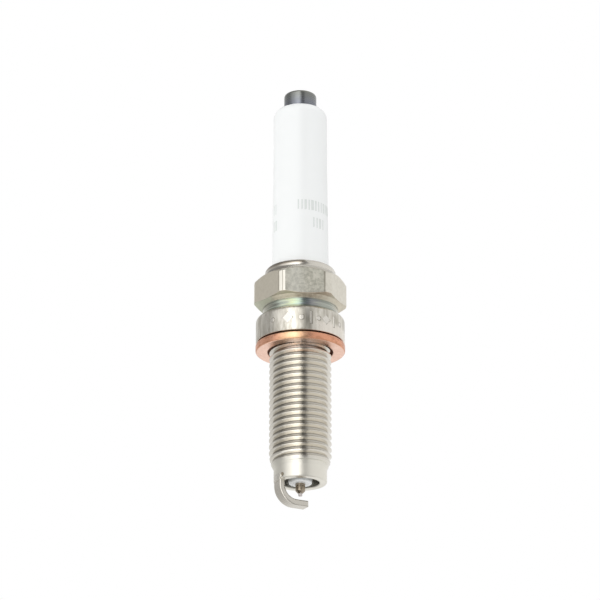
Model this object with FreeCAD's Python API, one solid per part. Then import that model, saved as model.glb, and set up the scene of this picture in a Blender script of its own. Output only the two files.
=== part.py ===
import FreeCAD, Part
import math
import os

# Spark plug for a motorcycle cylinder head: M12 x 1.25 thread of 26.5 mm reach, 16 mm hexagon.
# All sizes are in millimetres. +Z runs along the plug's axis, towards the terminal.
# The origin is the centre of the gasket's lower face, which seals on the cylinder head.

V = FreeCAD.Vector

# Thread, right-handed.
PITCH = 1.25
CREST_R = 5.92
ROOT_R = 5.23
ROOT_FLAT = 0.28
FLANK_ANGLE = 30.0
THREAD_TOP_Z = 0.05         # the crests are full up to here and fade out at 45 degrees above
FADE_TOP = (6.3, -19.0)     # the crests are full above the line from here to FADE_FOOT
FADE_FOOT = (5.62, -22.2)   # where that line bends in to the bare nose
FADE_ROUND = 2.5
GROOVE_PHASE_Z = -1.41      # height of one thread groove on the +X side
GROOVE_TURNS = 20.5         # enough to run out past both ends of the thread
GROOVE_TURNS_BELOW = 18     # turns of the groove below that height
GROOVE_OVERCUT = 0.13       # how far the groove's cutter stands out of the crests
RELIEF_R = 5.15             # smooth neck between thread and collar, where the gasket sits

# Metal shell, outside.
NOSE_R = 5.025
NOSE_EDGE_ROUND = 0.3
NOSE_TOP_ROUND = 0.4
NOSE_TOP_Z = -23.45
SHELL_END_Z = -26.0
COLLAR_R = 8.52
COLLAR_Z = 1.75
COLLAR_TOP_Z = 6.75
COLLAR_SHOULDER_R = 1.0
COLLAR_EDGE_ROUND = 0.3
GROOVE_R = 7.2
GROOVE_FLOOR_Z = 6.9
GROOVE_ROUND = 0.3
GROOVE_TOP_Z = 8.7
HEX_ACROSS_FLATS = 16.0
HEX_CORNER_R = 8.89
HEX_TURN = 7.2              # degrees from the square position, anticlockwise from above
HEX_LOW_Z = 9.7             # where the lower chamfer meets a corner
HEX_KNEE = (7.95, 9.35)     # the lower chamfer is flatter outside this radius
HEX_HIGH_Z = 13.8           # where the upper chamfer meets a corner
CRIMP_R = 6.85
CRIMP_FOOT = (7.4, 14.9)    # where the crimp flares out on to the upper chamfer
CRIMP_NECK_Z = 15.55
CRIMP_TOP_Z = 16.85
CRIMP_ROLL_R = 0.95
CRIMP_HOLLOW_R = 0.6        # hollow rounding at the crimp's foot and neck
CRIMP_CORE_Z = 8.9          # foot of the crimp's round core, inside the hexagon

# Metal shell, inside.
BORE_R = 6.2
SHANK_BORE_R = 4.15
THROAT_R = 3.35
THROAT_END_Z = -12.5
NOSE_BORE_R = 3.6
NOSE_BORE_Z = -12.9
MOUTH_CHAMFER = 0.15
LEDGE_Z = -10.4             # outer edge of the ledge that carries the insulator
LEDGE_SLOPE = 0.625         # drop of the ledge per millimetre inwards
BORE_STEP_Z = (2.6, 4.4)    # cone between the shank's bore and the head's bore
LIP_R = 5.6
LIP_Z = 15.95               # underside of the crimped lip
LIP_ROUND = 0.1

# Insulator.
POST_R = 5.25
POST_FOOT_R = 5.5
POST_TOP_Z = 50.66
POST_ROUND = 1.9
POST_STRAIGHT_Z = 38.0      # the post is straight above this height and tapers below it
POST_FOOT_Z = 16.9
FLANGE_R = 6.1
FLANGE_TOP_Z = 12.0
FLANGE_CHAMFER = 0.3
FLANGE_FOOT_Z = 4.75
FLANGE_FOOT_ROUND = 0.4
SHANK_R = 4.0
SHANK_TOP_Z = 2.9
SHANK_TOP_ROUND = 0.8
SEAT_Z = -10.15
SEAT_INNER_R = 3.2
NOSE_TAPER_Z = -12.5        # the nose tapers from here down to its tip
NOSE_TAPER_R = 3.15
TIP_Z = -26.15
TIP_R = 2.2
TIP_ROUND = 0.35
CAVITY_R = 2.05             # wide bore for terminal stud, resistor and seals
ELECTRODE_BORE_R = 0.96
CAVITY_FOOT_Z = 6.3
CAVITY_CONE = 0.8           # depth of the cone from the wide bore to the electrode's bore

# Conductors in the insulator.
TERMINAL_R = 3.175
TERMINAL_TOP_Z = 54.0
TERMINAL_ROUND = 0.6
CUP_R = 1.7
CUP_DEPTH = 0.8
CUP_EDGE_ROUND = 0.15
CUP_FLOOR_ROUND = 0.4
STUD_R = 1.5
STUD_FOOT_ROUND = 0.3
STUD_FILL_R = 2.0           # the part of the stud that fills the bore
STUD_FOOT_Z = 26.0
STUD_STEP_Z = (47.5, 48.0)  # cone between the stud and the part of it that fills the bore
STUD_RING_COUNT = 3
STUD_RING_LOW_Z = 26.6
STUD_RING_PITCH = 0.8
STUD_RING_DEPTH = 0.2
UPPER_SEAL_Z = (24.5, 29.0)
RESISTOR_Z = (12.5, 24.5)
LOWER_SEAL_FOOT_Z = 6.6
HEAD_TOP_Z = 8.2
HEAD_R = 1.9
HEAD_ROUND = 0.4
HEAD_CONE = 0.75            # depth of the cone under the head
ELECTRODE_R = 0.925
ELECTRODE_SHOULDER_Z = -27.5
ELECTRODE_END_Z = -28.0
ELECTRODE_END_R = 0.45
ELECTRODE_SHOULDER_ROUND = 0.25
ELECTRODE_END_ROUND = 0.08
CORE_R = 0.5
CORE_Z = (-22.0, 5.0)
CORE_POINT = 1.5            # length of the core's lower point
IRIDIUM_R = 0.37
IRIDIUM_ROUND = 0.05
IRIDIUM_Z = (-28.5, -27.5)

# Ground electrode, a strap welded to the shell's end and bent under the centre electrode.
STRAP_DIRECTION = 208.0     # degrees anticlockwise from +X, where the strap is welded
STRAP_WIDTH = 2.6
STRAP_THICKNESS = 1.15
STRAP_OUTER_R = 5.0
STRAP_LOW_Z = -30.68
STRAP_PAST_AXIS = 1.15
STRAP_OUTER_BEND = 3.7
STRAP_EDGE_R = 0.35
STRAP_CORE_WIDTH = 1.2
STRAP_CORE_THICKNESS = 0.4
STRAP_CORE_TOP_Z = -26.6
STRAP_CORE_END = 0.9        # distance of the core's free end from the axis, on the welded side
PAD_R = 0.45
PAD_HEIGHT = 0.2

# Gasket, a loose ring kept on the neck by its inner lip.
GASKET_R = 8.575
GASKET_HEIGHT = 1.5
GASKET_BORE_R = 6.17
GASKET_OUTER_ROUND = 0.35
GASKET_INNER_ROUND = 0.3
GASKET_LIP_R = 5.6
GASKET_LIP_Z = (1.05, 1.45)
GASKET_LIP_ROUND = 0.1

# Packing between insulator and shell.
WIRE_R = 0.33
LOWER_WIRE_Z = 12.225
UPPER_WIRE_Z = 15.6
TALC_Z = (12.57, 15.25)
WASHER_GAP = 0.05           # between the coned washer's rims and the walls beside it


def rounded_edges(corners):
    """Edges of a closed outline. A corner is (x, y), or (x, y, radius) where it is rounded."""
    starts = []
    edges = []
    count = len(corners)
    for i, corner in enumerate(corners):
        point = V(corner[0], 0, corner[1])
        if len(corner) == 2:
            starts.append((point, point))
            continue
        before = V(corners[i - 1][0], 0, corners[i - 1][1])
        after = V(corners[(i + 1) % count][0], 0, corners[(i + 1) % count][1])
        to_before = (before - point).normalize()
        to_after = (after - point).normalize()
        half = to_before.getAngle(to_after) / 2
        setback = corner[2] / math.tan(half)
        inward = (to_before + to_after).normalize()
        middle = point + inward * (corner[2] / math.sin(half) - corner[2])
        first = point + to_before * setback
        last = point + to_after * setback
        edges.append(Part.Arc(first, middle, last).toShape())
        starts.append((first, last))
    for i in range(count):
        leave = starts[i][1]
        arrive = starts[(i + 1) % count][0]
        if leave.distanceToPoint(arrive) > 1e-6:
            edges.append(Part.makeLine(leave, arrive))
    return edges


def outline(corners):
    """Flat face in the XZ plane inside the given corners."""
    edges = Part.sortEdges(rounded_edges(corners))[0]
    return Part.Face(Part.Wire(edges))


def turned(corners):
    """Solid of revolution about Z. Corners are (radius, height) or (radius, height, rounding)."""
    return outline(corners).revolve(V(0, 0, 0), V(0, 0, 1), 360)


def rod(radius, low, high):
    return Part.makeCylinder(radius, high - low, V(0, 0, low))


def tube(inner, outer, low, high):
    return rod(outer, low, high).cut(rod(inner, low, high))


def hex_prism(low, high):
    """Six-sided bar of the hexagon's size, one flat turned HEX_TURN from facing -Y."""
    corner_r = HEX_ACROSS_FLATS / math.sqrt(3)
    points = []
    for i in range(7):
        angle = math.radians(HEX_TURN + 60 * i)
        points.append(V(corner_r * math.cos(angle), corner_r * math.sin(angle), low))
    return Part.Face(Part.makePolygon(points)).extrude(V(0, 0, high - low))


def thread_groove():
    """Cutter for the thread: a trapezoid swept up a right-handed helix, open at both ends."""
    start = GROOVE_PHASE_Z - GROOVE_TURNS_BELOW * PITCH
    outer = CREST_R + GROOVE_OVERCUT
    inner_half = ROOT_FLAT / 2
    outer_half = inner_half + (outer - ROOT_R) * math.tan(math.radians(FLANK_ANGLE))
    section = Part.makePolygon([
        V(ROOT_R, 0, start - inner_half),
        V(outer, 0, start - outer_half),
        V(outer, 0, start + outer_half),
        V(ROOT_R, 0, start + inner_half),
        V(ROOT_R, 0, start - inner_half),
    ])
    path = Part.makeHelix(PITCH, GROOVE_TURNS * PITCH, ROOT_R)
    path.translate(V(0, 0, start))
    return Part.Wire(path.Edges).makePipeShell([section], True, True)


def shank():
    """Threaded shank: bare nose, rounded taper where the thread fades out, and smooth neck."""
    bar = rod(CREST_R, SHELL_END_Z, COLLAR_TOP_Z).cut(thread_groove())
    clear_r = FADE_TOP[0]
    envelope = turned([
        (0, SHELL_END_Z),
        (NOSE_R, SHELL_END_Z, NOSE_EDGE_ROUND),
        (NOSE_R, NOSE_TOP_Z, NOSE_TOP_ROUND),
        (*FADE_FOOT, FADE_ROUND),
        FADE_TOP,
        (clear_r, THREAD_TOP_Z - (clear_r - CREST_R)),
        (RELIEF_R, THREAD_TOP_Z + CREST_R - RELIEF_R),
        (RELIEF_R, COLLAR_Z),
        (0, COLLAR_Z),
    ])
    return bar.common(envelope)


def shell_hexagon():
    """Hexagon with both ends chamfered, its six corners turned round, and the crimp's foot."""
    top = CRIMP_TOP_Z - CRIMP_ROLL_R
    blank = turned([
        (BORE_R, GROOVE_TOP_Z),
        (GROOVE_R, GROOVE_TOP_Z),
        HEX_KNEE,
        (HEX_CORNER_R, HEX_LOW_Z),
        (HEX_CORNER_R, HEX_HIGH_Z),
        (*CRIMP_FOOT, CRIMP_HOLLOW_R),
        (CRIMP_R, CRIMP_NECK_Z, CRIMP_HOLLOW_R),
        (CRIMP_R, top),
        (BORE_R, top),
    ])
    return blank.common(hex_prism(GROOVE_TOP_Z, top))


def shell_head():
    """Collar, heat-shrink groove, core of the hexagon and crimped lip, in one turned piece."""
    return turned([
        (0, COLLAR_Z),
        (COLLAR_R, COLLAR_Z, COLLAR_EDGE_ROUND),
        (COLLAR_R, COLLAR_TOP_Z, COLLAR_SHOULDER_R),
        (GROOVE_R, GROOVE_FLOOR_Z, GROOVE_ROUND),
        (GROOVE_R, GROOVE_TOP_Z),
        (CRIMP_R, CRIMP_CORE_Z),
        (CRIMP_R, CRIMP_TOP_Z, CRIMP_ROLL_R),
        (LIP_R, CRIMP_TOP_Z, LIP_ROUND),
        (LIP_R, LIP_Z),
        (0, LIP_Z),
    ])


def shell_bore():
    """Hollow of the shell, from the mouth at the nose up to the underside of the lip."""
    throat_z = LEDGE_Z - (SHANK_BORE_R - THROAT_R) * LEDGE_SLOPE
    return turned([
        (0, SHELL_END_Z - 1),
        (NOSE_BORE_R + MOUTH_CHAMFER + 1, SHELL_END_Z - 1),
        (NOSE_BORE_R, SHELL_END_Z + MOUTH_CHAMFER),
        (NOSE_BORE_R, NOSE_BORE_Z),
        (THROAT_R, THROAT_END_Z),
        (THROAT_R, throat_z),
        (SHANK_BORE_R, LEDGE_Z),
        (SHANK_BORE_R, BORE_STEP_Z[0]),
        (BORE_R, BORE_STEP_Z[1]),
        (BORE_R, LIP_Z),
        (0, LIP_Z),
    ])


def metal_shell():
    return shank().fuse([shell_head(), shell_hexagon()]).cut(shell_bore()).removeSplitter()


def insulator():
    """One ceramic piece: post, flange held in the shell, shank and nose, with a stepped bore."""
    seat_inner_z = SEAT_Z - (SHANK_R - SEAT_INNER_R) * LEDGE_SLOPE
    return turned([
        (CAVITY_R, POST_TOP_Z),
        (POST_R, POST_TOP_Z, POST_ROUND),
        (POST_R, POST_STRAIGHT_Z),
        (POST_FOOT_R, POST_FOOT_Z),
        (POST_FOOT_R, FLANGE_TOP_Z),
        (FLANGE_R, FLANGE_TOP_Z - FLANGE_CHAMFER),
        (FLANGE_R, FLANGE_FOOT_Z, FLANGE_FOOT_ROUND),
        (SHANK_R, SHANK_TOP_Z, SHANK_TOP_ROUND),
        (SHANK_R, SEAT_Z),
        (SEAT_INNER_R, seat_inner_z),
        (NOSE_TAPER_R, NOSE_TAPER_Z),
        (TIP_R, TIP_Z, TIP_ROUND),
        (ELECTRODE_BORE_R, TIP_Z),
        (ELECTRODE_BORE_R, CAVITY_FOOT_Z - CAVITY_CONE),
        (CAVITY_R, CAVITY_FOOT_Z),
    ])


def terminal_stud():
    """Terminal with a shallow cup in its top, and the stud under it, ringed to hold in the seal."""
    stud = turned([
        (0, STUD_FOOT_Z),
        (STUD_R, STUD_FOOT_Z, STUD_FOOT_ROUND),
        (STUD_R, STUD_STEP_Z[0]),
        (STUD_FILL_R, STUD_STEP_Z[1]),
        (STUD_FILL_R, POST_TOP_Z),
        (TERMINAL_R, POST_TOP_Z),
        (TERMINAL_R, TERMINAL_TOP_Z, TERMINAL_ROUND),
        (CUP_R, TERMINAL_TOP_Z, CUP_EDGE_ROUND),
        (CUP_R, TERMINAL_TOP_Z - CUP_DEPTH, CUP_FLOOR_ROUND),
        (0, TERMINAL_TOP_Z - CUP_DEPTH),
    ])
    for i in range(STUD_RING_COUNT):
        low = STUD_RING_LOW_Z + i * STUD_RING_PITCH
        ring = tube(STUD_R - STUD_RING_DEPTH, STUD_R + 1, low, low + STUD_RING_PITCH / 2)
        stud = stud.cut(ring)
    return stud


def upper_glass_seal():
    return rod(CAVITY_R, *UPPER_SEAL_Z).cut(terminal_stud())


def resistor():
    return rod(CAVITY_R, *RESISTOR_Z)


def lower_glass_seal():
    """Glass on and around the head of the centre electrode."""
    return rod(CAVITY_R, LOWER_SEAL_FOOT_Z, RESISTOR_Z[0]).cut(electrode_envelope())


def electrode_envelope():
    """Outer form of the centre electrode: head, shoulder, long leg and coned end."""
    return turned([
        (0, ELECTRODE_END_Z),
        (ELECTRODE_END_R, ELECTRODE_END_Z, ELECTRODE_END_ROUND),
        (ELECTRODE_R, ELECTRODE_SHOULDER_Z, ELECTRODE_SHOULDER_ROUND),
        (ELECTRODE_R, CAVITY_FOOT_Z - HEAD_CONE),
        (HEAD_R, CAVITY_FOOT_Z),
        (HEAD_R, HEAD_TOP_Z, HEAD_ROUND),
        (0, HEAD_TOP_Z),
    ])


def center_electrode():
    """Nickel sheath, hollow for its copper core and drilled for the iridium tip."""
    return electrode_envelope().cut(center_electrode_core()).cut(iridium_tip())


def center_electrode_core():
    return turned([
        (0, CORE_Z[0]),
        (CORE_R, CORE_Z[0] + CORE_POINT),
        (CORE_R, CORE_Z[1]),
        (0, CORE_Z[1]),
    ])


def iridium_tip():
    return turned([
        (0, IRIDIUM_Z[0]),
        (IRIDIUM_R, IRIDIUM_Z[0], IRIDIUM_ROUND),
        (IRIDIUM_R, IRIDIUM_Z[1]),
        (0, IRIDIUM_Z[1]),
    ])


def strap(width, inset, root_z, end_x):
    """Bent bar in the strap's place, its faces moved in by the inset. +X is the welded side."""
    low = STRAP_LOW_Z + inset
    high = STRAP_LOW_Z + STRAP_THICKNESS - inset
    outer = STRAP_OUTER_R - inset
    inner = STRAP_OUTER_R - STRAP_THICKNESS + inset
    face = outline([
        (inner, root_z),
        (outer, root_z),
        (outer, low, STRAP_OUTER_BEND - inset),
        (end_x, low),
        (end_x, high),
        (inner, high, STRAP_OUTER_BEND - STRAP_THICKNESS + inset),
    ])
    face.translate(V(0, -width / 2, 0))
    return face.extrude(V(0, width, 0))


def placed_strap(shape):
    return shape.rotate(V(0, 0, 0), V(0, 0, 1), STRAP_DIRECTION)


def long_edges(shape):
    """Edges that run along the strap, on its two side faces."""
    side = STRAP_WIDTH / 2
    chosen = []
    for edge in shape.Edges:
        box = edge.BoundBox
        on_side = box.YLength < 1e-6 and abs(abs(box.YMin) - side) < 1e-6
        level = box.ZLength < 1e-6
        at_root = level and abs(box.ZMin - SHELL_END_Z) < 1e-6
        if on_side and not at_root:
            chosen.append(edge)
    return chosen


def strap_core():
    inset = (STRAP_THICKNESS - STRAP_CORE_THICKNESS) / 2
    return strap(STRAP_CORE_WIDTH, inset, STRAP_CORE_TOP_Z, STRAP_CORE_END)


def ground_electrode():
    bar = strap(STRAP_WIDTH, 0, SHELL_END_Z, -STRAP_PAST_AXIS)
    bar = bar.makeFillet(STRAP_EDGE_R, long_edges(bar))
    return placed_strap(bar.cut(strap_core()))


def ground_electrode_core():
    return placed_strap(strap_core())


def platinum_pad():
    low = STRAP_LOW_Z + STRAP_THICKNESS
    return rod(PAD_R, low, low + PAD_HEIGHT)


def gasket():
    """Folded ring with a plain outside and a thin lip that the thread can't pass."""
    return turned([
        (GASKET_BORE_R, 0, GASKET_INNER_ROUND),
        (GASKET_R, 0, GASKET_OUTER_ROUND),
        (GASKET_R, GASKET_HEIGHT, GASKET_OUTER_ROUND),
        (GASKET_BORE_R, GASKET_HEIGHT, GASKET_INNER_ROUND),
        (GASKET_BORE_R, GASKET_LIP_Z[1]),
        (GASKET_LIP_R, GASKET_LIP_Z[1], GASKET_LIP_ROUND),
        (GASKET_LIP_R, GASKET_LIP_Z[0], GASKET_LIP_ROUND),
        (GASKET_BORE_R, GASKET_LIP_Z[0]),
    ])


def inner_packing_washer():
    """Thin coned washer between the insulator's seat and the ledge in the shell."""
    inner = THROAT_R + WASHER_GAP
    outer = SHANK_R - WASHER_GAP
    seat_at_inner = SEAT_Z - (SHANK_R - inner) * LEDGE_SLOPE
    seat_at_outer = SEAT_Z - (SHANK_R - outer) * LEDGE_SLOPE
    ledge_at_inner = LEDGE_Z - (SHANK_BORE_R - inner) * LEDGE_SLOPE
    ledge_at_outer = LEDGE_Z - (SHANK_BORE_R - outer) * LEDGE_SLOPE
    return turned([
        (inner, ledge_at_inner),
        (outer, ledge_at_outer),
        (outer, seat_at_outer),
        (inner, seat_at_inner),
    ])


def packing_wire(height):
    return Part.makeTorus((POST_FOOT_R + BORE_R) / 2, WIRE_R, V(0, 0, height))


def lower_packing_ring():
    return packing_wire(LOWER_WIRE_Z)


def upper_packing_ring():
    return packing_wire(UPPER_WIRE_Z)


def talc_fill():
    return tube(POST_FOOT_R, BORE_R, *TALC_Z)


NODES = [
    terminal_stud,
    upper_glass_seal,
    resistor,
    lower_glass_seal,
    center_electrode,
    center_electrode_core,
    iridium_tip,
    insulator,
    metal_shell,
    inner_packing_washer,
    lower_packing_ring,
    talc_fill,
    upper_packing_ring,
    gasket,
    ground_electrode,
    ground_electrode_core,
    platinum_pad,
]

os.makedirs("parts", exist_ok=True)
for make in NODES:
    solid = make()
    solid.exportStep("parts/" + make.__name__ + ".step")
    print(make.__name__, round(solid.Volume, 3), solid.isValid(), len(solid.Solids))
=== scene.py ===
import bmesh
import bpy
import math
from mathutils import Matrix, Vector


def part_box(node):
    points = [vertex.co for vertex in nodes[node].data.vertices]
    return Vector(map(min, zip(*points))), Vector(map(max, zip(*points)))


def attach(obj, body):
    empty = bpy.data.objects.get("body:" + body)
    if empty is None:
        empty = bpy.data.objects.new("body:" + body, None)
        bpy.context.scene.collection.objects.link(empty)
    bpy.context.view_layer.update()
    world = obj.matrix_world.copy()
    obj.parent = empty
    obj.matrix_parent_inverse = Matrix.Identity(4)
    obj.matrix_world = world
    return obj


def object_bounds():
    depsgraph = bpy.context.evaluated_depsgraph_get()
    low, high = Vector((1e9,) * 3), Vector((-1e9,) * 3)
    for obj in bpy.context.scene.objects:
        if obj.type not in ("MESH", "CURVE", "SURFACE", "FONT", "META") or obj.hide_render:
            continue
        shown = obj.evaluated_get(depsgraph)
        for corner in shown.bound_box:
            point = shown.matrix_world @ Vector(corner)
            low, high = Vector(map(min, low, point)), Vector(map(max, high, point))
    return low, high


# Looks for a spark plug. Everything is in metres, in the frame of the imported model:
# +Z runs along the plug towards its terminal, and -Y faces the main camera.
# A turn is an angle about Z in degrees, 0 at -Y and growing towards +X.

MM = 0.001

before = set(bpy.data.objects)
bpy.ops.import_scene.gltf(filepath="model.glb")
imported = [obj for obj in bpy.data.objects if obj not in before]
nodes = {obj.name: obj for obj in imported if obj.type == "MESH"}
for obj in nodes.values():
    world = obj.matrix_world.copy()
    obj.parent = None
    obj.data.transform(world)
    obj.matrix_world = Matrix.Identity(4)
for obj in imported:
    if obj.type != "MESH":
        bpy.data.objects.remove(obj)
cad_low, cad_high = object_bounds()

shell_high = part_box("metal_shell")[1]
gasket_low, gasket_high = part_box("gasket")
strap_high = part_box("ground_electrode")[1]
electrode_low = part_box("center_electrode")[0]

# Heights of the shell's zones. The seat is the gasket's lower face.
SEAT = gasket_low.z
NOSE_TOP = SEAT - 22.0 * MM
COLLAR_MIDDLE = SEAT + 4.25 * MM
GROOVE_LOW = SEAT + 6.6 * MM
GROOVE_HIGH = SEAT + 8.72 * MM
HEX_HIGH = SEAT + 14.6 * MM
ROLL_TOP = SEAT + 16.85 * MM
PRINT_ROWS = (SEAT + 28.6 * MM, SEAT + 25.1 * MM)

# The hexagon's lower chamfer is a cone: its rise per reach, and its height at the axis.
CHAMFER_RISE = 0.372
CHAMFER_APEX = SEAT + 6.42 * MM

# Radii of the shell and the gasket.
COLLAR_RADIUS = gasket_high.x - 0.055 * MM
KNEE = 7.95 * MM
BORE = 3.6 * MM
GASKET_BORE = 6.17 * MM
THREAD_ROOT = 5.23 * MM
CREST = 5.92 * MM

# Bands of turn on the hexagon: from, to and softness.
FRONT_FLAT = (-17.0, 31.0, 2.0)
# The corner lines are lines of painted shade along the hexagon's corners.
CORNER_LINES = ((-22.7, -21.8, 0.3), (-27.9, -27.0, 0.3), (31.2, 32.4, 0.4))

# Patches of colour round the plug: from turn, to turn, softness, strength and colour.
HEXAGON_PATCHES = (
    # Painted highlight on the front flat, left of its middle.
    (-16.0, 3.0, 9.0, 0.35, (0.84, 0.83, 0.77)),
    (-120.0, -26.0, 4.0, 0.7, (0.89, 0.815, 0.68)),
    (33.0, 150.0, 3.0, 0.5, (0.87, 0.82, 0.73)),
    # Painted highlight on the rounded left corner.
    (-26.5, -19.0, 0.4, 0.8, (0.90, 0.87, 0.79)),
)
CHAMFER_PATCHES = (
    (-150.0, -42.0, 8.0, 0.8, (0.65, 0.69, 0.55)),
    (34.0, 150.0, 14.0, 0.8, (0.84, 0.79, 0.665)),
    (-40.0, -6.0, 6.0, 0.7, (0.96, 0.90, 0.73)),
)

# Heights by which marks, the painted shadow sheets under them, and print stand out of the surface,
# and how far a mark's foot is sunk.
MARK_RISE = 0.045 * MM
MARK_SHADOW_RISE = 0.014 * MM
PRINT_RISE = 0.012 * MM
FOOT_SUNK = 0.02 * MM

# The printed bars' height, their widths in turn and the turn from one to the next.
PRINT_TALL = 2.1
PRINT_WIDTHS = (0.26, 0.26, 0.45, 0.26, 0.6, 0.34)
PRINT_PITCH = 7.6

# Painted highlights and painted shade on the shell, and the groove's tint rings.
PAINTED_FLANK_HIGHLIGHT = (0.87, 0.83, 0.75)
PAINTED_CREST_HIGHLIGHT = (0.80, 0.88, 0.91)
PAINTED_ROOT_SHADE = (0.13, 0.115, 0.09)
PAINTED_BORE_SHADE = (0.15, 0.14, 0.115)
PAINTED_GROOVE_EDGE_SHADE = (0.15, 0.165, 0.12)
GROOVE_RING = (0.16, 0.18, 0.16)
CRIMP_SHADE = (0.30, 0.25, 0.195)
CORNER_SHADE = (0.24, 0.20, 0.14)

# Welds. A bead has a thickness and a waver; the flash is an oval beside the strap's foot.
BEAD_SIDES = 8
STRAP_BEAD_POINTS = 36
STRAP_BEAD_SIZE = 0.13 * MM
STRAP_BEAD_WAVER = 0.05 * MM
STRAP_CORNER_POWER = 0.4
TIP_BEAD_POINTS = 28
TIP_BEAD_SIZE = 0.055 * MM
TIP_BEAD_WAVER = 0.02 * MM
TIP_BEAD_RADIUS = 0.41 * MM
TIP_BEAD_RAISED = 0.03 * MM
FLASH_POINTS = 24
FLASH_HALF_WIDE = 1.4
FLASH_HALF_TALL = 0.75
FLASH_RAISED = 0.45 * MM
FLASH_RISE = 0.16 * MM
NOTCH_TURN = 20.0
NOTCH_RAISED = 0.7 * MM
NOTCH_RISE = 0.1 * MM

# Studio: a ring of upright screens, each a turn in degrees and how bright it is.
SCREENS = [
    (-180, 0.98), (-160, 0.84), (-135, 0.68), (-108, 0.52), (-86, 0.44), (-75, 0.50),
    (-66, 0.95), (-40, 1.25), (-30, 1.70), (-12, 2.00), (-2, 1.90), (3, 1.00), (8, 0.22),
    (24, 0.22), (33, 0.80), (60, 0.85), (120, 0.90), (160, 0.94), (180, 0.98),
]
BRIGHTEST = 2.5
FLOOR_Z = -0.6
FLOOR_RADIUS = 6.0

# Camera.
LENS = 171
SENSOR_WIDTH = 36
CLIP_NEAR = 0.01
CLIP_FAR = 10
CAMERA_DISTANCE = 0.5483
CAMERA_TILT = math.radians(20.727)
AIM_SIDE = -0.06 * MM
AIM_DROP = 0.81 * MM


class Graph:
    """Short way to write a node tree: each method adds a node and returns its output."""

    def __init__(self, tree):
        self.tree = tree

    def add(self, kind, inputs, output=0, **settings):
        node = self.tree.nodes.new(kind)
        for key, value in settings.items():
            setattr(node, key, value)
        for key, value in inputs.items():
            if isinstance(value, bpy.types.NodeSocket):
                self.tree.links.new(value, node.inputs[key])
            else:
                node.inputs[key].default_value = value
        return node.outputs[output]

    def axes(self, vector):
        return [self.add("ShaderNodeSeparateXYZ", {0: vector}, i) for i in range(3)]

    def join(self, x, y, z):
        return self.add("ShaderNodeCombineXYZ", {0: x, 1: y, 2: z})

    def math(self, operation, a, b=0.0, c=0.0):
        return self.add("ShaderNodeMath", {0: a, 1: b, 2: c}, operation=operation)

    def plus(self, *terms):
        total = terms[0]
        for term in terms[1:]:
            total = self.math("ADD", total, term)
        return total

    def times(self, *factors):
        total = factors[0]
        for factor in factors[1:]:
            total = self.math("MULTIPLY", total, factor)
        return total

    def stretch(self, vector, factors):
        return self.add("ShaderNodeVectorMath", {0: vector, 1: factors}, operation="MULTIPLY")

    def step(self, value, low, high, start=0.0, end=1.0):
        """start below low, end above high, and smooth between them."""
        inputs = {"Value": value, "From Min": low, "From Max": high, "To Min": start, "To Max": end}
        return self.add("ShaderNodeMapRange", inputs, interpolation_type="SMOOTHSTEP")

    def step_linear(self, value, low, high):
        """0 at low, 1 at high, straight between them."""
        return self.add("ShaderNodeMapRange", {"Value": value, "From Min": low, "From Max": high})

    def band(self, value, low, high, soft):
        """1 between low and high, 0 outside, with soft edges."""
        rise = self.step(value, low - soft, low + soft)
        fall = self.step(value, high - soft, high + soft, 1.0, 0.0)
        return self.math("MULTIPLY", rise, fall)

    def noise(self, vector, scale, detail=3.0, roughness=0.5):
        inputs = {"Vector": vector, "Scale": scale, "Detail": detail, "Roughness": roughness}
        return self.add("ShaderNodeTexNoise", inputs)

    def mix(self, factor, a, b):
        """Colour b over colour a."""
        inputs = {0: factor, 6: opaque(a), 7: opaque(b)}
        return self.add("ShaderNodeMix", inputs, 2, data_type="RGBA")

    def blend(self, factor, a, b):
        """Number b over number a."""
        return self.add("ShaderNodeMix", {0: factor, 2: a, 3: b}, 0, data_type="FLOAT")

    def ramp(self, factor, stops):
        node = self.tree.nodes.new("ShaderNodeValToRGB")
        self.tree.links.new(factor, node.inputs[0])
        elements = node.color_ramp.elements
        while len(elements) < len(stops):
            elements.new(0.5)
        for element, (position, colour) in zip(elements, stops):
            element.position = position
            element.color = opaque(colour)
        return node.outputs[0]


class Paint(Graph):
    """A material with one Principled shader."""

    def __init__(self, name, **constants):
        self.material = bpy.data.materials.new(name)
        self.material.use_nodes = True
        super().__init__(self.material.node_tree)
        self.shader = self.tree.nodes["Principled BSDF"]
        for socket, value in constants.items():
            self.shader.inputs[socket.replace("_", " ")].default_value = opaque(value)

    def drive(self, socket, value):
        self.tree.links.new(value, self.shader.inputs[socket])

    def place(self):
        return self.add("ShaderNodeTexCoord", {}, "Object")

    def polar(self):
        """Position, turn in degrees, radius and height."""
        position = self.place()
        x, y, z = self.axes(position)
        turn = self.math("ARCTAN2", x, self.times(y, -1.0))
        radius = self.math("SQRT", self.plus(self.times(x, x), self.times(y, y)))
        return position, self.times(turn, 180 / math.pi), radius, z

    def relief(self, height):
        """Fine surface relief. The height is in millimetres."""
        inputs = {"Height": height, "Distance": MM, "Strength": 1.0}
        self.drive("Normal", self.add("ShaderNodeBump", inputs))


def opaque(value):
    """A colour of three parts gets a fourth; anything else stays as it is."""
    if isinstance(value, tuple) and len(value) == 3:
        return (*value, 1.0)
    return value


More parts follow.
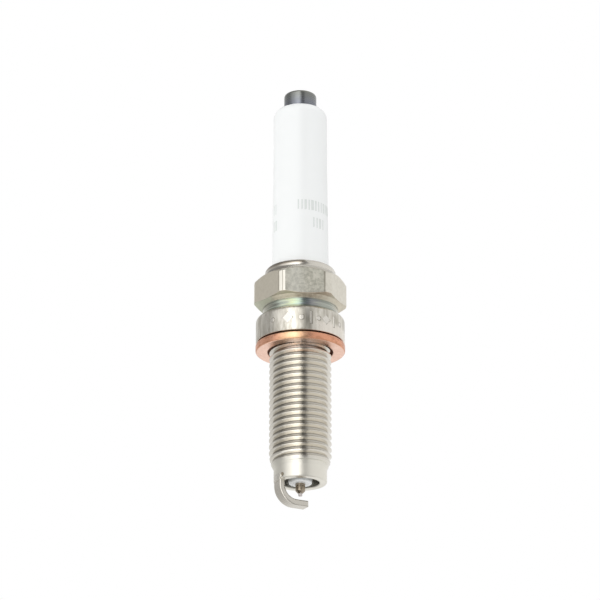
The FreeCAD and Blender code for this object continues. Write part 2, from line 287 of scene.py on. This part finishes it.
def groove_tint(g, turn, z):
    """Heat tint of the shrink groove, changing round the plug and in rings up it, with painted
    shade along its upper and lower edges.
    """
    rings = g.noise(g.join(g.times(turn, 0.004), 0.0, g.times(z, 1 / MM)), 4.2, 2.0)
    drift = g.plus(turn, g.step(rings, 0.3, 0.7, -9.0, 9.0))
    stops = [
        (-75, (0.58, 0.56, 0.48)),
        (-50, (0.42, 0.43, 0.36)),
        (-38, (0.58, 0.65, 0.56)),
        (-24, (0.60, 0.655, 0.50)),
        (-15, (0.51, 0.565, 0.34)),
        (-7, (0.41, 0.51, 0.35)),
        (1, (0.34, 0.45, 0.38)),
        (9, (0.30, 0.35, 0.39)),
        (18, (0.26, 0.26, 0.28)),
        (32, (0.36, 0.38, 0.34)),
        (50, (0.40, 0.43, 0.38)),
        (75, (0.58, 0.56, 0.48)),
    ]
    placed = [((angle + 90) / 180, colour) for angle, colour in stops]
    tint = g.ramp(g.step_linear(drift, -90, 90), placed)
    tint = g.mix(g.step(rings, 0.40, 0.50, 0.45, 0.0), tint, GROOVE_RING)
    edges = g.band(z, GROOVE_LOW + 0.75 * MM, GROOVE_HIGH - 0.26 * MM, 0.12 * MM)
    return g.mix(g.blend(edges, 0.58, 0.0), tint, PAINTED_GROOVE_EDGE_SHADE)


def patched(g, turn, colour, patches):
    """The colour with patches of other colours round the plug."""
    for low, high, soft, strength, patch in patches:
        amount = g.times(g.band(turn, low, high, soft), strength)
        colour = g.mix(amount, colour, patch)
    return colour


def collar_steel(g, turn, z, streaks):
    """Collar with upright streaks, and painted light making it lighter at the lower right."""
    steel = g.mix(g.step(streaks, 0.3, 0.7), (0.50, 0.47, 0.40), (0.78, 0.745, 0.67))
    below_marks = g.step(z, COLLAR_MIDDLE - 1.0 * MM, COLLAR_MIDDLE, 1.0, 0.0)
    painted_right_light = g.times(g.band(turn, 21.0, 140.0, 11.0), below_marks)
    return g.mix(g.times(painted_right_light, 0.7), steel, (0.90, 0.84, 0.76))


def hexagon_steel(g, turn, grain):
    """Forged flats: the front one mottled, the left one warm, painted highlights on the front flat
    and the left corner, and painted shade lines at the corners.
    """
    steel = g.mix(g.step(grain, 0.34, 0.66), (0.60, 0.58, 0.495), (0.76, 0.735, 0.645))
    mottled = g.mix(g.step(grain, 0.34, 0.66), (0.53, 0.515, 0.43), (0.80, 0.775, 0.675))
    steel = g.mix(g.band(turn, *FRONT_FLAT), steel, mottled)
    steel = patched(g, turn, steel, HEXAGON_PATCHES)
    lines = g.plus(*(g.band(turn, *line) for line in CORNER_LINES))
    return g.mix(g.times(lines, 0.65), steel, CORNER_SHADE)


def chamfer_steel(g, turn, radius, grain):
    """Heat colours of the hexagon's lower chamfer, with a painted highlight along its outer edge at
    the front.
    """
    steel = g.mix(g.step(grain, 0.35, 0.65), (0.58, 0.49, 0.37), (0.80, 0.71, 0.565))
    steel = patched(g, turn, steel, CHAMFER_PATCHES)
    edge_highlight = g.step(radius, KNEE - 0.05 * MM, KNEE + 0.05 * MM)
    edge_highlight = g.times(edge_highlight, g.band(turn, -36.0, 44.0, 8.0), 0.6)
    left = g.band(turn, -60.0, -2.0, 10.0)
    return g.mix(edge_highlight, steel, g.mix(left, (0.94, 0.76, 0.61), (1.0, 0.93, 0.80)))


def crimp_shadow(g, turn, z):
    """Shade on the crimped lip, deepest at its top and to the left."""
    crimp = g.step(z, HEX_HIGH, HEX_HIGH + 0.5 * MM)
    shaded = g.band(turn, -130.0, 8.0, 4.0)
    rim = g.step(z, ROLL_TOP - 1.0 * MM, ROLL_TOP - 0.7 * MM)
    rim = g.plus(rim, g.step(turn, -30.0, -12.0, 0.3, 0.0))
    return g.times(crimp, shaded, g.step(rim, 0.0, 1.0, 0.1, 0.8))


def thread_painted_highlight(g, turn, radius):
    """Painted highlight on the thread flanks, strongest at the front, between the dull crests and
    the painted shade at the groove's bottom.
    """
    flank = g.band(radius, THREAD_ROOT + 0.12 * MM, CREST - 0.05 * MM, 0.03 * MM)
    sides = g.band(turn, -58.0, 52.0, 9.0)
    return g.times(flank, g.blend(sides, 0.1, 0.8))


def thread_painted_shade(g, turn, radius):
    """Painted shade in the bottom of the thread groove, deeper to the left."""
    bottom = g.step(radius, THREAD_ROOT + 0.04 * MM, THREAD_ROOT + 0.14 * MM, 1.0, 0.0)
    left = g.band(turn, -140.0, 9.0, 5.0)
    return g.times(bottom, g.blend(left, 0.3, 0.72))


def painted_crest_highlight(g, turn, z):
    """Painted cool highlight at the front of the thread's first crest, under the gasket."""
    crest = g.band(z, SEAT - 0.75 * MM, SEAT + 0.7 * MM, 0.2 * MM)
    return g.times(crest, g.band(turn, -30.0, 34.0, 10.0), 0.6)


def shell_material():
    g = Paint("nickel_plated_shell", Metallic=1.0)
    position, turn, radius, z = g.polar()
    cloud = g.noise(position, 420.0, 4.0)
    streaks = g.noise(g.stretch(position, (1.0, 1.0, 0.22)), 1500.0, 4.0, 0.6)
    grain = g.noise(position, 1500.0, 5.0, 0.65)
    pits = g.noise(position, 5200.0, 3.0, 0.6)
    turned = g.noise(g.join(0.0, g.times(radius, 9000.0), g.times(z, 9000.0)), 1.0)

    threaded = g.band(z, NOSE_TOP, SEAT + 1.2 * MM, 0.4 * MM)
    nose = g.step(z, NOSE_TOP - 0.8 * MM, NOSE_TOP, 1.0, 0.0)
    collar = g.band(z, SEAT + 1.6 * MM, GROOVE_LOW + 0.1 * MM, 0.1 * MM)
    groove = g.band(z, GROOVE_LOW + 0.15 * MM, GROOVE_HIGH, 0.12 * MM)
    over_cone = g.plus(z, g.times(radius, -CHAMFER_RISE))
    flats = g.step(over_cone, CHAMFER_APEX - 0.02 * MM, CHAMFER_APEX + 0.04 * MM)
    head = g.band(z, GROOVE_HIGH, HEX_HIGH, 0.08 * MM)
    hexagon = g.times(head, flats)
    chamfer = g.times(head, g.math("SUBTRACT", 1.0, flats))

    colour = g.mix(cloud, (0.66, 0.62, 0.545), (0.79, 0.76, 0.695))
    colour = g.mix(g.times(nose, 0.8), colour, (0.86, 0.835, 0.75))
    colour = g.mix(collar, colour, collar_steel(g, turn, z, streaks))
    colour = g.mix(hexagon, colour, hexagon_steel(g, turn, grain))
    # Painted shade inside the bore.
    inside = g.step(radius, BORE + 0.06 * MM, BORE + 0.16 * MM, 0.3, 0.0)
    colour = g.mix(inside, colour, PAINTED_BORE_SHADE)
    colour = g.mix(g.times(chamfer, 0.9), colour, chamfer_steel(g, turn, radius, grain))
    colour = g.mix(g.times(groove, 0.9), colour, groove_tint(g, turn, z))
    colour = g.mix(crimp_shadow(g, turn, z), colour, CRIMP_SHADE)
    colour = g.mix(g.times(thread_painted_highlight(g, turn, radius), threaded), colour, PAINTED_FLANK_HIGHLIGHT)
    colour = g.mix(g.times(thread_painted_shade(g, turn, radius), threaded), colour, PAINTED_ROOT_SHADE)
    colour = g.mix(painted_crest_highlight(g, turn, z), colour, PAINTED_CREST_HIGHLIGHT)
    g.drive("Base Color", colour)

    rough = g.step(cloud, 0.3, 0.7, 0.17, 0.26)
    rough = g.plus(rough, g.times(hexagon, 0.2), g.times(nose, 0.16), g.times(collar, 0.09),
                   g.times(chamfer, 0.34))
    g.drive("Roughness", rough)

    tool_rings = g.noise(g.join(0.0, 0.0, g.times(z, 1 / MM)), 3.2, 1.0)
    g.relief(g.plus(
        g.times(turned, 0.0025),
        g.times(grain, hexagon, 0.022),
        g.times(pits, hexagon, 0.006),
        g.times(streaks, collar, 0.010),
        g.times(cloud, collar, 0.02),
        g.times(tool_rings, groove, 0.09),
    ))
    return g.material


def insulator_material():
    g = Paint("glazed_alumina", IOR=1.52, Subsurface_Weight=0.12, Subsurface_Scale=0.0015,
              Subsurface_Radius=Vector((0.9, 0.9, 0.9)), Coat_Weight=0.25, Coat_Roughness=0.03)
    mottle = g.noise(g.place(), 420.0, 3.0)
    g.drive("Base Color", g.mix(mottle, (0.918, 0.938, 0.932), (0.938, 0.953, 0.948)))
    g.drive("Roughness", g.step(mottle, 0.3, 0.7, 0.36, 0.44))
    g.relief(g.times(mottle, 0.004))
    return g.material


def gasket_material():
    g = Paint("gasket_copper", Metallic=1.0)
    position, turn, radius, z = g.polar()
    wander = g.noise(position, 520.0, 4.0, 0.55)
    rub = g.noise(g.stretch(position, (1.0, 1.0, 6.0)), 900.0, 4.0, 0.6)
    colour = g.mix(wander, (0.83, 0.40, 0.245), (0.94, 0.52, 0.355))
    # Painted highlight across the front of the flank.
    front_highlight = g.band(turn, -26.0, 6.0, 9.0)
    lower = g.step(z, gasket_low.z, gasket_low.z + 0.45 * MM, 1.0, 0.0)
    # Painted shade on the right side.
    right_shade = g.band(turn, 11.0, 140.0, 9.0)
    colour = g.mix(g.times(right_shade, 0.6), colour, (0.74, 0.335, 0.20))
    scuffs = g.noise(g.stretch(position, (1.0, 1.0, 2.0)), 800.0, 4.0, 0.6)
    colour = g.mix(g.step(scuffs, 0.50, 0.58, 0.0, 0.6), colour, (0.52, 0.24, 0.14))
    colour = g.mix(g.times(front_highlight, 0.55), colour, (0.92, 0.68, 0.40))
    # Painted shade along the lower band of the flank, deepest at the front.
    colour = g.mix(g.times(lower, front_highlight, 0.55), colour, (0.55, 0.33, 0.17))
    colour = g.mix(g.times(lower, 0.25), colour, (0.70, 0.36, 0.20))
    face = g.math("LESS_THAN", z, gasket_low.z + 0.05 * MM)
    colour = g.mix(g.times(face, 0.75), colour, (0.95, 0.68, 0.56))
    # Painted shade in the bore.
    bore = g.step(radius, GASKET_BORE + 0.03 * MM, GASKET_BORE + 0.2 * MM, 0.75, 0.0)
    colour = g.mix(bore, colour, (0.15, 0.08, 0.05))
    g.drive("Base Color", colour)
    g.drive("Roughness", g.step(rub, 0.3, 0.7, 0.24, 0.38))
    g.relief(g.plus(g.times(rub, 0.008), g.times(wander, 0.01)))
    return g.material


def terminal_material():
    g = Paint("gunmetal", Metallic=1.0)
    position, _, radius, z = g.polar()
    wander = g.noise(position, 700.0, 4.0)
    lines = g.noise(g.join(0.0, g.times(radius, 6000.0), g.times(z, 6000.0)), 1.0, 2.0)
    colour = g.mix(wander, (0.17, 0.178, 0.20), (0.28, 0.295, 0.33))
    # Painted light: the upper part lighter and olive, and a painted highlight round the top rim.
    upper = g.step(z, cad_high.z - 2.8 * MM, cad_high.z - 0.6 * MM)
    colour = g.mix(g.times(upper, 0.6), colour, (0.25, 0.255, 0.215))
    rim = g.step(z, cad_high.z - 0.7 * MM, cad_high.z - 0.1 * MM)
    g.drive("Base Color", g.mix(g.times(rim, 0.7), colour, (0.36, 0.36, 0.30)))
    g.drive("Roughness", g.step(lines, 0.3, 0.7, 0.22, 0.34))
    g.relief(g.times(lines, 0.006))
    return g.material


def metal(name, dark, light, rough, scale=900.0, stretch=(1, 1, 1), depth=0.01):
    """A metal whose colour and roughness wander between two values, with fine relief."""
    g = Paint(name, Metallic=1.0)
    wander = g.noise(g.stretch(g.place(), stretch), scale, 4.0, 0.55)
    g.drive("Base Color", g.mix(wander, dark, light))
    g.drive("Roughness", g.step(wander, 0.3, 0.7, rough, rough + 0.12))
    g.relief(g.times(wander, depth))
    return g.material


def powdery(name, dark, light, scale=2500.0, rough=0.85):
    g = Paint(name, Roughness=rough)
    wander = g.noise(g.place(), scale, 4.0)
    g.drive("Base Color", g.mix(wander, dark, light))
    g.relief(g.times(wander, 0.02))
    return g.material


def paint(node, material):
    data = nodes[node].data
    if not data.materials:
        data.materials.append(material)
    for i in range(len(data.materials)):
        data.materials[i] = material


def dress_nodes():
    steel = metal("packing_steel", (0.36, 0.36, 0.36), (0.55, 0.54, 0.53), 0.35)
    copper = metal("core_copper", (0.62, 0.30, 0.19), (0.80, 0.43, 0.29), 0.28)
    seal = powdery("copper_glass", (0.16, 0.11, 0.08), (0.30, 0.21, 0.15))
    paint("metal_shell", shell_material())
    paint("insulator", insulator_material())
    paint("terminal_stud", terminal_material())
    paint("gasket", gasket_material())
    drawn = (1.0, 1.0, 0.12)
    paint("ground_electrode", metal(
        "strap_nickel", (0.58, 0.545, 0.48), (0.72, 0.69, 0.625), 0.2, 1400.0, drawn, 0.006))
    paint("center_electrode", metal(
        "electrode_nickel", (0.30, 0.25, 0.19), (0.50, 0.43, 0.34), 0.24))
    paint("iridium_tip", metal("iridium", (0.55, 0.50, 0.49), (0.74, 0.69, 0.68), 0.25))
    paint("platinum_pad", metal("platinum", (0.66, 0.65, 0.63), (0.78, 0.77, 0.75), 0.25))
    paint("center_electrode_core", copper)
    paint("ground_electrode_core", copper)
    for name in ("inner_packing_washer", "lower_packing_ring", "upper_packing_ring"):
        paint(name, steel)
    for name in ("upper_glass_seal", "lower_glass_seal"):
        paint(name, seal)
    paint("resistor", powdery("carbon_glass", (0.05, 0.05, 0.055), (0.11, 0.11, 0.12)))
    paint("talc_fill", powdery("pressed_talc", (0.74, 0.73, 0.69), (0.86, 0.85, 0.81)))


def around(radius, turn, height):
    angle = math.radians(turn)
    return Vector((radius * math.sin(angle), -radius * math.cos(angle), height))


def add_piece(name, shape, material, body="root"):
    """Turn a bmesh into a named piece that rides a body of the model."""
    bmesh.ops.recalc_face_normals(shape, faces=shape.faces)
    mesh = bpy.data.meshes.new(name)
    shape.to_mesh(mesh)
    shape.free()
    mesh.materials.append(material)
    made = bpy.data.objects.new(name, mesh)
    bpy.context.scene.collection.objects.link(made)
    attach(made, body)


def bridge(shape, rings):
    """Join rings of points with faces, and close both ends."""
    for low, high in zip(rings, rings[1:]):
        for i in range(len(low)):
            j = (i + 1) % len(low)
            shape.faces.new((low[i], low[j], high[j], high[i]))
    shape.faces.new(rings[0])
    shape.faces.new(rings[-1])


def stamp(shape, outline, radius, turn, height, rise):
    """Low raised mark on an upright cylinder. The outline is in millimetres round its centre."""
    rings = []
    for size, level in ((1.0, -FOOT_SUNK), (1.0, rise * 0.35), (0.9, rise * 0.85), (0.74, rise)):
        ring = []
        for across, up in outline:
            swing = math.degrees(across * MM * size / radius)
            place = around(radius + level, turn + swing, height + up * MM * size)
            ring.append(shape.verts.new(place))
        rings.append(ring)
    bridge(shape, rings)


def bar(width, tall):
    """Upright rectangle, in millimetres round its centre."""
    half_width = width / 2
    half_tall = tall / 2
    return [
        (-half_width, -half_tall),
        (half_width, -half_tall),
        (half_width, half_tall),
        (-half_width, half_tall),
    ]


def dot(size, points=10):
    """Round outline, in millimetres round its centre; four points make it a diamond."""
    corners = [2 * math.pi * i / points for i in range(points)]
    return [(size * math.cos(a), size * math.sin(a)) for a in corners]


def grown(outline, by, shift):
    """The outline made wider all round and moved sideways, in millimetres."""
    middle_x = sum(x for x, _ in outline) / len(outline)
    middle_y = sum(y for _, y in outline) / len(outline)
    points = []
    for x, y in outline:
        wider = math.copysign(min(by, abs(x - middle_x)), x - middle_x)
        taller = math.copysign(min(by, abs(y - middle_y)), y - middle_y)
        points.append((x + wider + shift, y + taller))
    return points


def collar_marks():
    """Plain stamped marks round the collar, bars, dots and diamonds, their tops lightened as a
    painted highlight, each over a dark sheet shifted right as a painted shadow.
    """
    marks = [
        (-38.0, dot(0.42)),
        (-17.0, dot(1.15, 4)),
        (1.5, dot(0.5)),
        (14.0, bar(0.42, 2.4)),
        (24.0, dot(0.42)),
        (35.0, dot(0.95, 4)),
        (48.0, bar(0.38, 2.2)),
        (61.0, dot(0.42)),
    ]
    tops = bmesh.new()
    edges = bmesh.new()
    for turn, outline in marks:
        edge = grown(outline, 0.07, 0.06)
        stamp(tops, outline, COLLAR_RADIUS, turn, COLLAR_MIDDLE, MARK_RISE)
        stamp(edges, edge, COLLAR_RADIUS, turn, COLLAR_MIDDLE, MARK_SHADOW_RISE)
    bright = metal("stamped_nickel_highlight", (0.66, 0.62, 0.55), (0.86, 0.83, 0.77), 0.2)
    dark = metal("stamped_shadow", (0.20, 0.18, 0.14), (0.34, 0.31, 0.25), 0.35)
    add_piece("collar_marks", tops, bright)
    add_piece("collar_mark_shadows", edges, dark)


def post_print():
    """Two rows of pale bars printed on the post, in a pattern of widths and gaps."""
    upper = [-4.0 + PRINT_PITCH * i for i in range(12)] + [-62.0, -70.0]
    lower = [29.0, 37.0, 45.0, 54.0, -60.0, -68.0]
    shape = bmesh.new()
    for height, turns in zip(PRINT_ROWS, (upper, lower)):
        for i, turn in enumerate(turns):
            outline = bar(PRINT_WIDTHS[i % len(PRINT_WIDTHS)], PRINT_TALL)
            stamp(shape, outline, post_radius(height), turn, height, PRINT_RISE)
    ink = powdery("pale_print", (0.68, 0.71, 0.69), (0.80, 0.83, 0.81), 3000.0, 0.5)
    add_piece("post_print", shape, ink)


def post_radius(height):
    """Radius of the insulator's post at a height, from its own points."""
    points = [v.co for v in nodes["insulator"].data.vertices if v.co.z > shell_high.z]
    radii = sorted((p.z, math.hypot(p.x, p.y)) for p in points if math.hypot(p.x, p.y) > 4 * MM)
    below = max((pair for pair in radii if pair[0] <= height), key=lambda pair: pair[0])
    above = min((pair for pair in radii if pair[0] > height), key=lambda pair: pair[0])
    share = (height - below[0]) / (above[0] - below[0])
    return below[1] + (above[1] - below[1]) * share


def bead(shape, path, sizes):
    """Closed weld bead along a path, thicker and thinner as the sizes say."""
    rings = []
    count = len(path)
    for i, point in enumerate(path):
        along = (path[(i + 1) % count] - path[i - 1]).normalized()
        side = along.cross(Vector((0, 0, 1))).normalized()
        ring = []
        for k in range(BEAD_SIDES):
            angle = 2 * math.pi * k / BEAD_SIDES
            reach = side * math.cos(angle) + Vector((0, 0, 1)) * math.sin(angle)
            ring.append(shape.verts.new(point + reach * sizes[i]))
        rings.append(ring)
    rings.append(rings[0])
    for low, high in zip(rings, rings[1:]):
        for k in range(BEAD_SIDES):
            m = (k + 1) % BEAD_SIDES
            shape.faces.new((low[k], low[m], high[m], high[k]))


def uneven(count, size, waver):
    """Sizes round a closed bead that waver without repeating."""
    sizes = []
    for i in range(count):
        a = 2 * math.pi * i / count
        sizes.append(size + waver * (0.6 * math.sin(3 * a + 0.4) + 0.4 * math.sin(7 * a + 1.9)))
    return sizes


def squared(share):
    """Share of a circle's reach, pushed out so that the circle nears a square."""
    return math.copysign(abs(share) ** STRAP_CORNER_POWER, share)


def strap_weld(material):
    """Upset bead round the strap's root, and the flash it leaves on the shell's nose."""
    points = [v.co for v in nodes["ground_electrode"].data.vertices]
    root = [point for point in points if point.z > strap_high.z - 0.01 * MM]
    middle = sum(root, Vector()) / len(root)
    outwards = Vector((middle.x, middle.y, 0)).normalized()
    sideways = Vector((-outwards.y, outwards.x, 0))
    half_thick = max(abs((p - middle).dot(outwards)) for p in root)
    half_wide = max(abs((p - middle).dot(sideways)) for p in root)
    path = []
    for i in range(STRAP_BEAD_POINTS):
        a = 2 * math.pi * i / STRAP_BEAD_POINTS
        across = squared(math.cos(a)) * half_thick
        along = squared(math.sin(a)) * half_wide
        centre = Vector((middle.x, middle.y, strap_high.z))
        path.append(centre + outwards * across + sideways * along)
    shape = bmesh.new()
    bead(shape, path, uneven(STRAP_BEAD_POINTS, STRAP_BEAD_SIZE, STRAP_BEAD_WAVER))
    add_piece("strap_weld_bead", shape, material)

    turn = math.degrees(math.atan2(outwards.x, -outwards.y))
    outline = []
    for i, size in enumerate(uneven(FLASH_POINTS, 1.0, 0.14)):
        a = 2 * math.pi * i / FLASH_POINTS
        across = FLASH_HALF_WIDE * size * math.cos(a)
        outline.append((across, FLASH_HALF_TALL * size * math.sin(a)))
    shape = bmesh.new()
    radius = math.hypot(middle.x, middle.y) + half_thick + FOOT_SUNK
    stamp(shape, outline, radius, turn, strap_high.z + FLASH_RAISED, FLASH_RISE)
    add_piece("strap_weld_flash", shape, material)

    # A dark tile beside the flash: a painted shadow for the shaded notch between the flash and the
    # nose.
    shape = bmesh.new()
    notch = [(-0.05, -0.4), (0.2, -0.3), (0.36, 0.0), (0.22, 0.3), (-0.1, 0.42), (-0.3, 0.2)]
    stamp(shape, notch, radius, turn + NOTCH_TURN, strap_high.z + NOTCH_RAISED, NOTCH_RISE)
    notch_shade = powdery("painted_notch_shadow", (0.10, 0.085, 0.06), (0.30, 0.25, 0.18))
    add_piece("strap_weld_notch_shadow", shape, notch_shade)


def tip_weld(material):
    """Fine laser-weld bead where the iridium pin enters the electrode."""
    count = TIP_BEAD_POINTS
    height = electrode_low.z + TIP_BEAD_RAISED
    path = [around(TIP_BEAD_RADIUS, 360 * i / count, height) for i in range(count)]
    shape = bmesh.new()
    bead(shape, path, uneven(count, TIP_BEAD_SIZE, TIP_BEAD_WAVER))
    add_piece("tip_weld_bead", shape, material)


def studio():
    """White studio: the ring of screens, a dimmer ceiling, and light from below on the left."""
    world = bpy.data.worlds.new("studio")
    bpy.context.scene.world = world
    world.use_nodes = True
    g = Graph(world.node_tree)
    g.tree.nodes.clear()
    direction = g.add("ShaderNodeTexCoord", {}, "Generated")
    x, y, z = g.axes(direction)
    degrees = g.times(g.math("ARCTAN2", x, g.times(y, -1.0)), 180 / math.pi)
    stops = [((turn + 180) / 360, (level / BRIGHTEST,) * 3) for turn, level in SCREENS]
    ring = g.times(g.ramp(g.step_linear(degrees, -180.0, 180.0), stops), BRIGHTEST)
    overhead = g.step(g.plus(z, g.times(y, 0.3)), 0.70, 0.84)
    level = g.blend(overhead, ring, g.step(x, -0.1, 0.5, 0.32, 0.80))
    floor_bright = g.step(x, -0.02, 0.05, 1.05, 0.22)
    floor_level = g.plus(floor_bright, g.step(x, 0.16, 0.26, 0.0, 0.45))
    level = g.blend(g.step(z, -0.86, -0.66, 1.0, 0.0), level, floor_level)
    rays = g.add("ShaderNodeLightPath", {}, "Is Diffuse Ray")
    soft_light = g.times(g.step(x, -0.8, 0.8, 1.23, 0.95), g.step(z, -0.9, 0.0, 1.12, 1.0))
    level = g.blend(rays, level, soft_light)
    light = g.add("ShaderNodeBackground", {"Color": (1, 1, 1, 1), "Strength": level})
    screen = g.add("ShaderNodeBackground", {"Color": (1, 1, 1, 1), "Strength": 1.0})
    camera_ray = g.add("ShaderNodeLightPath", {}, "Is Camera Ray")
    shown = g.add("ShaderNodeMixShader", {0: camera_ray, 1: light, 2: screen})
    output = g.tree.nodes.new("ShaderNodeOutputWorld")
    g.tree.links.new(shown, output.inputs[0])
    bpy.context.scene.view_settings.view_transform = "Standard"


def camera():
    data = bpy.data.cameras.new("camera")
    data.lens = LENS
    data.sensor_width = SENSOR_WIDTH
    data.clip_start = CLIP_NEAR
    data.clip_end = CLIP_FAR
    eye = bpy.data.objects.new("camera", data)
    bpy.context.scene.collection.objects.link(eye)
    aim = Vector((AIM_SIDE, 0, (cad_low.z + cad_high.z) / 2 - AIM_DROP))
    back = Vector((0, -math.cos(CAMERA_TILT), -math.sin(CAMERA_TILT)))
    eye.location = aim + back * CAMERA_DISTANCE
    eye.rotation_mode = "QUATERNION"
    eye.rotation_quaternion = (-back).to_track_quat("-Z", "Y")
    bpy.context.scene.camera = eye


def floor():
    mesh = bpy.data.meshes.new("floor")
    shape = bmesh.new()
    bmesh.ops.create_circle(shape, cap_ends=True, segments=96, radius=FLOOR_RADIUS)
    shape.to_mesh(mesh)
    shape.free()
    plane = bpy.data.objects.new("floor", mesh)
    bpy.context.scene.collection.objects.link(plane)
    plane.location.z = FLOOR_Z
    plane.visible_glossy = False
    plane.visible_diffuse = False
    g = Paint("pale_floor", Roughness=0.8)
    g.drive("Base Color", g.mix(g.noise(g.place(), 3.0), (0.90, 0.90, 0.90), (0.95, 0.95, 0.95)))
    mesh.materials.append(g.material)


studio()
camera()
floor()
dress_nodes()
collar_marks()
post_print()
weld = metal("weld_metal", (0.66, 0.63, 0.56), (0.84, 0.81, 0.74), 0.24, 1500.0, (1, 1, 1), 0.02)
strap_weld(weld)
tip_weld(weld)
